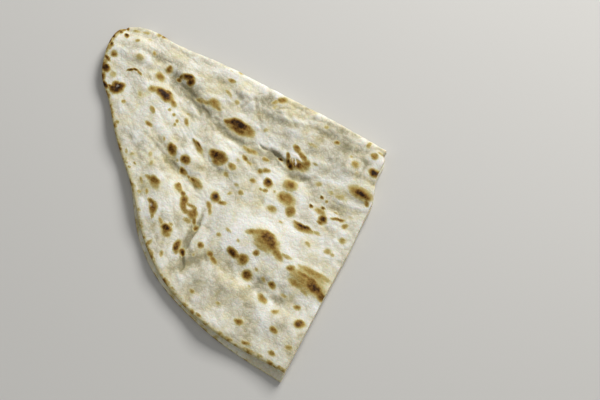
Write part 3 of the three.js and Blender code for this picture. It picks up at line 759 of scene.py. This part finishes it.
def outer_face(sheet):
    """Relief of the outer face, how dark it is baked, how pale it is torn, and how floury it is, with painted
    shade in its hollows and creases.
    """
    x, y = warped(*seen_places(sheet), MARK_WARP_SIZE, MARK_WARP, MARK_WARP_SEED)
    baked, rise, rings = baked_places(x, y)
    pale = pale_places(x, y)
    floury = floury_places(sheet)
    roughness = np.clip(1.0 - SMOOTHING * floury, *ROUGHNESS_RANGE)
    crinkles = puckers(sheet) + layered_noise(sheet.x, sheet.rolled_y, GRAIN, GRAIN_SEED)
    crinkles = ripples(sheet) + roughness * crinkles
    creases = crease_relief(*warped(x, y, CREASE_WARP_SIZE, CREASE_WARP, CREASE_WARP_SEED))
    creases = np.where(sheet.is_top, creases, 0.0)
    # Painted shade: the flour field follows the relief, grey in the hollows and creases and white on the
    # tops.
    dusting_and_shade = (crinkles + creases) / RELIEF_SHADE_HEIGHT + floury + rings

    relief = rise + crinkles + TEAR_RISE * pale
    shown = bell_heights(BLISTERS + LOW_SWELLS, sheet.x, sheet.y) + creases
    off_fold = smooth_step(0.0, RIM_BAND, sheet.from_fold)
    relief += np.where(sheet.is_top, shown, 0.0) * off_fold
    relief -= np.where(sheet.is_under, UNDER_RELIEF_DROP, 0.0) * off_fold
    relief *= blend(RIM_RELIEF, 1.0, smooth_step(0.0, RIM_BAND, sheet.from_rim))
    return relief, {"baked": baked, "pale": pale, "flour": np.clip(MEAN_FLOUR + dusting_and_shade, 0.0, 1.0)}


# ---------------------------------------------------------------------------
# The closed mesh

class Skin:
    """Vertices with their fields, and faces with a place in the bake map for each corner."""

    def __init__(self, fields):
        self.places = []
        self.fields = {name: [] for name in fields}
        self.count = 0
        self.faces = []
        self.corners = []

    def add_vertices(self, places, **fields):
        """Adds vertices and returns their numbers in the same arrangement."""
        arrangement = places.shape[:-1]
        total = math.prod(arrangement)
        self.places.append(places.reshape(total, 3))
        for name, values in self.fields.items():
            values.append(np.broadcast_to(fields.get(name, 0.0), arrangement).reshape(total))
        numbers = np.arange(self.count, self.count + total).reshape(arrangement)
        self.count += total
        return numbers

    def add_faces(self, loops, corners):
        """Adds faces, leaving out a corner that is the same vertex as the one before it."""
        for loop, places in zip(loops.tolist(), corners.tolist()):
            kept = [k for k in range(4) if loop[k] != loop[k - 1]]
            if len(kept) > 2:
                self.faces.append([loop[k] for k in kept])
                self.corners.extend(places[k] for k in kept)

    def mesh(self, name):
        used, numbers = np.unique(np.concatenate(self.faces), return_inverse=True)
        ends = np.cumsum([len(face) for face in self.faces])
        faces = [face.tolist() for face in np.split(numbers, ends[:-1])]
        mesh = bpy.data.meshes.new(name)
        mesh.from_pydata(np.concatenate(self.places)[used].tolist(), [], faces)
        for field, values in self.fields.items():
            attribute = mesh.attributes.new(field, "FLOAT", "POINT")
            attribute.data.foreach_set("value", np.concatenate(values)[used].astype(np.float32))
        bake_map = mesh.uv_layers.new(name="OFBake")
        bake_map.data.foreach_set("uv", np.asarray(self.corners, np.float32).ravel())
        return mesh


def quads(grid, flip=False):
    """The four corners of every cell of a grid of numbers or places."""
    loop = [grid[:-1, :-1], grid[:-1, 1:], grid[1:, 1:], grid[1:, :-1]]
    if flip:
        loop.reverse()
    cells = np.stack(loop, axis=2)
    return cells.reshape(-1, *cells.shape[2:])


def gather_at_poles(numbers, under_pole, top_pole):
    """Every vertex of the first row of a layer is the one at its pole."""
    numbers[0, :under_pole] = numbers[0, under_pole]
    numbers[0, top_pole:] = numbers[0, top_pole]


def border(sheet):
    """Rows and columns of the border, in the direction in which the faces run round it."""
    last = sheet.columns - 1
    ring = [(0, column) for column in range(sheet.under_pole, sheet.top_pole)]
    ring += [(row, last) for row in range(ROWS)]
    ring += [(ROWS, column) for column in range(last, 0, -1)]
    ring += [(row, 0) for row in range(ROWS, 0, -1)]
    return np.array(ring).T


def island(plan, corner, scale):
    """Places in the bake map of an island of plan places."""
    low = plan.reshape(-1, 2).min(axis=0)
    return np.asarray(corner) + (plan - low) * scale


def wall_corners(steps, segments):
    """Bake-map corners of the walls, laid out in several strips above one another."""
    step, segment = np.divmod(np.arange(steps * segments), segments)
    strip, place = np.divmod(segment, segments // WALL_STRIPS)
    corners = []
    for more_segment, more_step in ((0, 0), (1, 0), (1, 1), (0, 1)):
        along = (place + more_segment) / (segments // WALL_STRIPS)
        across = strip * WALL_STRIP_PITCH + (step + more_step) / steps * WALL_STRIP_HEIGHT
        in_map = [WALL_CORNER[0] + WALL_STRIP_LENGTH * along, WALL_CORNER[1] + across]
        corners.append(np.stack(in_map, axis=-1))
    return np.stack(corners[::-1], axis=1)


def add_walls(skin, sheet, outer, inner, normal, outer_numbers, inner_numbers, fields):
    """Walls along the rims and the cut, from the fine outer face to the coarser inner one."""
    rows, columns = border(sheet)
    segments = len(rows)
    start = outer[rows, columns]
    end = inner[rows, columns]
    tangent = np.roll(start, -1, axis=0) - np.roll(start, 1, axis=0)
    outward = np.cross(tangent, normal[rows, columns])
    outward /= np.maximum(np.linalg.norm(outward, axis=-1, keepdims=True), TINY)
    is_cut = ((rows == ROWS) & (columns > 0) & (columns < sheet.columns - 1)).astype(float)
    place = np.arange(segments) * WALL_NOISE_STEP

    grid = [outer_numbers[rows, columns]]
    for step in range(1, WALL_STEPS):
        share = step / WALL_STEPS
        roundness = math.sqrt(1.0 - (2.0 * share - 1.0) ** 2)
        crumbs = lattice_noise(place, np.full(segments, step * CRUMB_SIZE), CRUMB_SIZE, CRUMB_SEED)
        bulge = blend(RIM_BULGE * roundness, CUT_BULGE * roundness + CRUMB_HEIGHT * crumbs, is_cut)
        ring = blend(start, end, share) + outward * bulge[:, None]
        ring[:, 2] = np.maximum(ring[:, 2], 0.0)
        edge_fields = {name: values[rows, columns] for name, values in fields.items()}
        grid.append(skin.add_vertices(ring, crumb=is_cut, **edge_fields))
    nearest = (np.arange(segments) + 1) // COARSER * COARSER % segments
    grid.append(inner_numbers[rows[nearest] // COARSER, columns[nearest] // COARSER])
    numbers = np.stack(grid)
    numbers = np.concatenate([numbers, numbers[:, :1]], axis=1)
    skin.add_faces(quads(numbers, flip=True), wall_corners(WALL_STEPS, segments))


def naan_mesh():
    sheet = Sheet()
    normal = sheet.normals()
    middle = np.stack([sheet.x, sheet.y, sheet.z], axis=-1)
    half = thickness(sheet.from_rim)[..., None] / 2
    relief, fields = outer_face(sheet)
    outer = middle + normal * (half + relief[..., None])
    outer[..., 2] = np.maximum(outer[..., 2], 0.0)
    inner = middle - normal * half
    fields["rim"] = 1.0 - smooth_step(0.0, RIM_BROWNING, sheet.from_rim)

    skin = Skin(["baked", "pale", "flour", "rim", "crumb", "inside"])
    coarse = (slice(None, None, COARSER), slice(None, None, COARSER))
    outer_numbers = skin.add_vertices(outer, **fields)
    inner_rim = fields["rim"][coarse]
    inner_numbers = skin.add_vertices(inner[coarse], inside=1.0, rim=inner_rim, flour=INSIDE_FLOUR)
    gather_at_poles(outer_numbers, sheet.under_pole, sheet.top_pole)
    gather_at_poles(inner_numbers, sheet.under_pole // COARSER, sheet.top_pole // COARSER)

    plan = np.stack([sheet.x, sheet.rolled_y], axis=-1)
    skin.add_faces(quads(outer_numbers), quads(island(plan, OUTER_CORNER, OUTER_SCALE)))
    inner_map = island(plan[coarse], INNER_CORNER, INNER_SCALE)
    skin.add_faces(quads(inner_numbers, flip=True), quads(inner_map, flip=True))
    add_walls(skin, sheet, outer, inner, normal, outer_numbers, inner_numbers, fields)
    return skin.mesh("folded_naan")


# ---------------------------------------------------------------------------
# The crust's material

def colour(red, green, blue):
    """A colour given as it shows on a screen, 0 to 255, as the linear one that sockets take."""
    screen = [value / 255 for value in (red, green, blue)]
    linear = [value / 12.92 if value <= 0.04045 else ((value + 0.055) / 1.055) ** 2.4 for value in screen]
    return (*linear, 1.0)


class Nodes:
    """Short calls that build a material's node tree."""

    def __init__(self, material):
        material.use_nodes = True
        self.tree = material.node_tree
        self.tree.nodes.clear()
        self.places = self.add("ShaderNodeTexCoord").outputs["Object"]

    def add(self, kind, inputs=None, **settings):
        node = self.tree.nodes.new(kind)
        for name, value in settings.items():
            setattr(node, name, value)
        for name, value in (inputs or {}).items():
            if isinstance(value, bpy.types.NodeSocket):
                self.tree.links.new(value, node.inputs[name])
            else:
                node.inputs[name].default_value = value
        return node

    def field(self, name):
        return self.add("ShaderNodeAttribute", attribute_name=name).outputs["Fac"]

    def noise(self, size, seed, detail, roughness):
        inputs = {
            "Vector": self.places, "W": float(seed), "Scale": 1.0 / size,
            "Detail": detail, "Roughness": roughness,
        }
        return self.add("ShaderNodeTexNoise", inputs, noise_dimensions="4D").outputs["Fac"]

    def math(self, operation, first, second=0.0, clamped=False):
        node = self.add("ShaderNodeMath", {0: first, 1: second}, operation=operation, use_clamp=clamped)
        return node.outputs["Value"]

    def spread(self, value, low, high, to_low=0.0, to_high=1.0):
        """Maps low..high smoothly to to_low..to_high."""
        inputs = {"Value": value, "From Min": low, "From Max": high, "To Min": to_low, "To Max": to_high}
        return self.add("ShaderNodeMapRange", inputs, interpolation_type="SMOOTHSTEP").outputs["Result"]

    def pattern(self, name):
        """A noise of PATTERNS, spread as it says there."""
        noise, spread = PATTERNS[name]
        return self.spread(self.noise(*noise), *spread)

    def mix(self, share, first, second, blend_type="MIX"):
        node = self.add("ShaderNodeMix", data_type="RGBA", blend_type=blend_type)
        for socket, value in ((node.inputs[0], share), (node.inputs[6], first), (node.inputs[7], second)):
            if isinstance(value, bpy.types.NodeSocket):
                self.tree.links.new(value, socket)
            else:
                socket.default_value = value
        return node.outputs[2]

    def ramp(self, share, stops):
        node = self.add("ShaderNodeValToRGB", {"Fac": share})
        elements = node.color_ramp.elements
        for _ in stops[2:]:
            elements.new(1.0)
        for element, (position, shade) in zip(elements, stops):
            element.position = position
            element.color = shade
        return node.outputs["Color"]


# The dough from grey, which is painted shade in the hollows and creases, to floury white on the tops.
DOUGH_AND_SHADE = [
    (0.0, colour(160, 154, 127)), (0.25, colour(196, 190, 165)), (0.5, colour(223, 219, 200)),
    (0.75, colour(236, 235, 223)), (1.0, colour(246, 246, 240)),
]
STRAW_TINT = colour(248, 242, 217)  # what straw-coloured patches of the dough are tinted with
TORN = colour(250, 247, 238)
CRUMB = colour(236, 227, 196)
# The pores' darker colour is painted shade inside them; their depth is a bump.
CRUMB_PORE_SHADE = colour(172, 152, 108)
CRUMB_PORE_SHADE_SHARE, CRUMB_PORE_DEPTH = 0.6, -0.8
CREASE_SHADE = (0.0, 0.6, -0.10, 0.05)  # painted shade at the bottom of a fine crease, and a little lighter beside it, through the flour field
CRUST_ROUGHNESS = (0.3, 0.9, 0.86, 0.58)  # from a little baked to well baked
INSIDE_BROWNING = 0.5  # share of the browning that is left on the inner face
BROWNING_STARTS = (0.04, 0.27)  # where browning begins to cover the dough, and where it hides it
BROWNING = [
    (0.08, colour(226, 219, 178)), (0.25, colour(200, 187, 132)), (0.43, colour(172, 147, 82)),
    (0.6, colour(142, 108, 46)), (0.77, colour(100, 66, 18)), (0.93, colour(44, 24, 6)),
]

# Noises of the crust: size, seed, detail and roughness, and then from where to where its values are
# spread, and to what.
PATTERNS = {
    "creasing": ((2.6 * MM, 2, 2, 0.5), (0.25, 0.75, -1.0, 1.0)),
    "dusting_and_shade": ((9 * MM, 3, 2, 0.5), (0.35, 0.65, -0.1, 0.1)),
    "straw": ((9 * MM, 5, 3, 0.6), (0.42, 0.72)),
    "ragged": ((1.8 * MM, 6, 3, 0.6), (0.3, 0.7, 0.8, 1.16)),
    "specks": ((3.6 * MM, 11, 1, 0.4), (0.7, 0.82, 0.0, 0.2)),
    "rim": ((5 * MM, 7, 2, 0.6), (0.45, 0.7, 0.22, 0.7)),
    "pores": ((1.0 * MM, 8, 2, 0.6), (0.52, 0.62)),
}
FINE_GRAIN, FINE_GRAIN_HEIGHT = (0.9 * MM, 9, 3, 0.6), 0.4


def floury_dough(nodes, creased):
    """Grey in the hollows and fine creases, which is painted shade, white on the tops, with straw-coloured
    patches.
    """
    dust_and_shade = nodes.math("ADD", nodes.field("flour"), nodes.spread(creased, *CREASE_SHADE))
    dust_and_shade = nodes.math("ADD", dust_and_shade, nodes.pattern("dusting_and_shade"))
    return nodes.mix(nodes.pattern("straw"), nodes.ramp(dust_and_shade, DOUGH_AND_SHADE), STRAW_TINT, blend_type="MULTIPLY")


def browning_level(nodes):
    """How brown it is: marks with ragged edges, patches along the rim, and small specks."""
    marks = nodes.math("MULTIPLY", nodes.field("baked"), nodes.pattern("ragged"))
    rim = nodes.math("MULTIPLY", nodes.field("rim"), nodes.pattern("rim"))
    level = nodes.math("MAXIMUM", marks, rim)
    level = nodes.math("MAXIMUM", level, nodes.pattern("specks"))
    kept = nodes.spread(nodes.field("inside"), 0.0, 1.0, 1.0, INSIDE_BROWNING)
    return nodes.math("MULTIPLY", level, kept)


def crust_material():
    material = bpy.data.materials.new("naan_crust")
    nodes = Nodes(material)
    creased = nodes.math("ABSOLUTE", nodes.pattern("creasing"))
    level = browning_level(nodes)
    covered = nodes.spread(level, *BROWNING_STARTS)
    skin = nodes.mix(covered, floury_dough(nodes, creased), nodes.ramp(level, BROWNING))
    skin = nodes.mix(nodes.field("pale"), skin, TORN)

    # The crumb that shows at the cut, paler than the crust and full of small pores, with painted shade in the
    # pores.
    crumb, pores = nodes.field("crumb"), nodes.pattern("pores")
    crumb_shade = nodes.mix(nodes.math("MULTIPLY", pores, CRUMB_PORE_SHADE_SHARE), CRUMB, CRUMB_PORE_SHADE)
    skin = nodes.mix(crumb, skin, crumb_shade)

    fine = nodes.math("MULTIPLY", nodes.noise(*FINE_GRAIN), FINE_GRAIN_HEIGHT)
    holes = nodes.math("MULTIPLY", nodes.math("MULTIPLY", pores, crumb), CRUMB_PORE_DEPTH)
    relief = nodes.math("ADD", nodes.math("ADD", fine, creased), holes)
    bump = nodes.add("ShaderNodeBump", {"Height": relief, "Strength": 0.9, "Distance": 0.16 * MM})
    inputs = {
        "Base Color": skin,
        "Roughness": nodes.spread(level, *CRUST_ROUGHNESS),
        "Normal": bump.outputs["Normal"],
        "Specular IOR Level": 0.14,
        "Subsurface Weight": 0.12,
        "Subsurface Scale": 1.5 * MM,
    }
    shader = nodes.add("ShaderNodeBsdfPrincipled", inputs)
    nodes.add("ShaderNodeOutputMaterial", {"Surface": shader.outputs["BSDF"]})
    return material


# ---------------------------------------------------------------------------
# Floor, lights and camera

FLOOR_SIZE = 8.0
FLOOR_DROP = -0.1 * MM
FLOOR_SHADE = colour(206, 205, 201)
FLOOR_LIGHT = colour(214, 213, 210)
FLOOR_NOISE = (0.4, 1, 1, 0.5)
WORLD_SHADE = (1.0, 1.0, 1.0, 1.0)
WORLD_STRENGTH = 0.24


def add_floor():
    half = FLOOR_SIZE / 2
    sides = ((-half, -half), (half, -half), (half, half), (-half, half))
    corners = [(x, y, FLOOR_DROP) for x, y in sides]
    mesh = bpy.data.meshes.new("floor")
    mesh.from_pydata(corners, [], [(0, 1, 2, 3)])
    material = bpy.data.materials.new("floor")
    nodes = Nodes(material)
    tone = nodes.mix(nodes.noise(*FLOOR_NOISE), FLOOR_SHADE, FLOOR_LIGHT)
    shader = nodes.add("ShaderNodeBsdfPrincipled", {"Base Color": tone, "Roughness": 0.9})
    nodes.add("ShaderNodeOutputMaterial", {"Surface": shader.outputs["BSDF"]})
    mesh.materials.append(material)
    floor = bpy.data.objects.new("floor", mesh)
    bpy.context.collection.objects.link(floor)


def add_soft_light(name, azimuth, elevation, distance, size, power, shade):
    """A square lamp in a compass direction (0 is +X, 90 is +Y), turned to the bread."""
    lamp = bpy.data.lights.new(name, "AREA")
    lamp.size = size
    lamp.energy = power
    lamp.color = shade
    turn, rise = math.radians(azimuth), math.radians(elevation)
    back = Vector((math.cos(turn) * math.cos(rise), math.sin(turn) * math.cos(rise), math.sin(rise)))
    light = bpy.data.objects.new(name, lamp)
    light.location = back * distance
    light.rotation_euler = back.to_track_quat("Z", "Y").to_euler()
    bpy.context.collection.objects.link(light)


def add_camera(target):
    data = bpy.data.cameras.new("camera")
    data.lens = CAMERA_LENS
    data.sensor_width = CAMERA_SENSOR
    reach = math.cos(CAMERA_ELEVATION)
    back = Vector((math.sin(CAMERA_TURN) * reach, -math.cos(CAMERA_TURN) * reach, math.sin(CAMERA_ELEVATION)))
    camera = bpy.data.objects.new("camera", data)
    camera.location = target + back * CAMERA_DISTANCE
    camera.rotation_euler = back.to_track_quat("Z", "Y").to_euler()
    bpy.context.collection.objects.link(camera)
    bpy.context.scene.camera = camera


def add_world():
    world = bpy.data.worlds.new("studio")
    world.use_nodes = True
    background = world.node_tree.nodes["Background"]
    background.inputs["Color"].default_value = WORLD_SHADE
    background.inputs["Strength"].default_value = WORLD_STRENGTH
    bpy.context.scene.world = world


# ---------------------------------------------------------------------------
# The scene

def plan_shift(mesh):
    """From plan places to the frame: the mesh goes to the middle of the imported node's box."""
    low, high = (np.array(corner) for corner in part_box("naan"))
    places = np.empty(len(mesh.vertices) * 3)
    mesh.vertices.foreach_get("co", places)
    places = places.reshape(-1, 3)
    shift = (low + high) / 2 - (places.min(axis=0) + places.max(axis=0)) / 2
    return Vector((shift[0], shift[1], 0.0))


def add_naan():
    mesh = naan_mesh()
    shift = plan_shift(mesh)
    mesh.transform(Matrix.Translation(shift))
    mesh.shade_smooth()
    mesh.set_sharp_from_angle(angle=SHARP_FROM)
    mesh.materials.append(crust_material())
    naan = bpy.data.objects.new("folded_naan", mesh)
    bpy.context.collection.objects.link(naan)
    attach(naan, "root")
    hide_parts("naan")
    return shift


shift = add_naan()
add_floor()
add_soft_light("key", azimuth=84, elevation=33, distance=1.5, size=0.6, power=23.0, shade=(1.0, 0.985, 0.96))
add_soft_light("fill", azimuth=-60, elevation=55, distance=1.8, size=1.2, power=3.0, shade=(0.97, 0.98, 1.0))
add_world()
add_camera(Vector((*CAMERA_TARGET, 0.0)) + shift)
bpy.context.scene.view_settings.view_transform = "Standard"
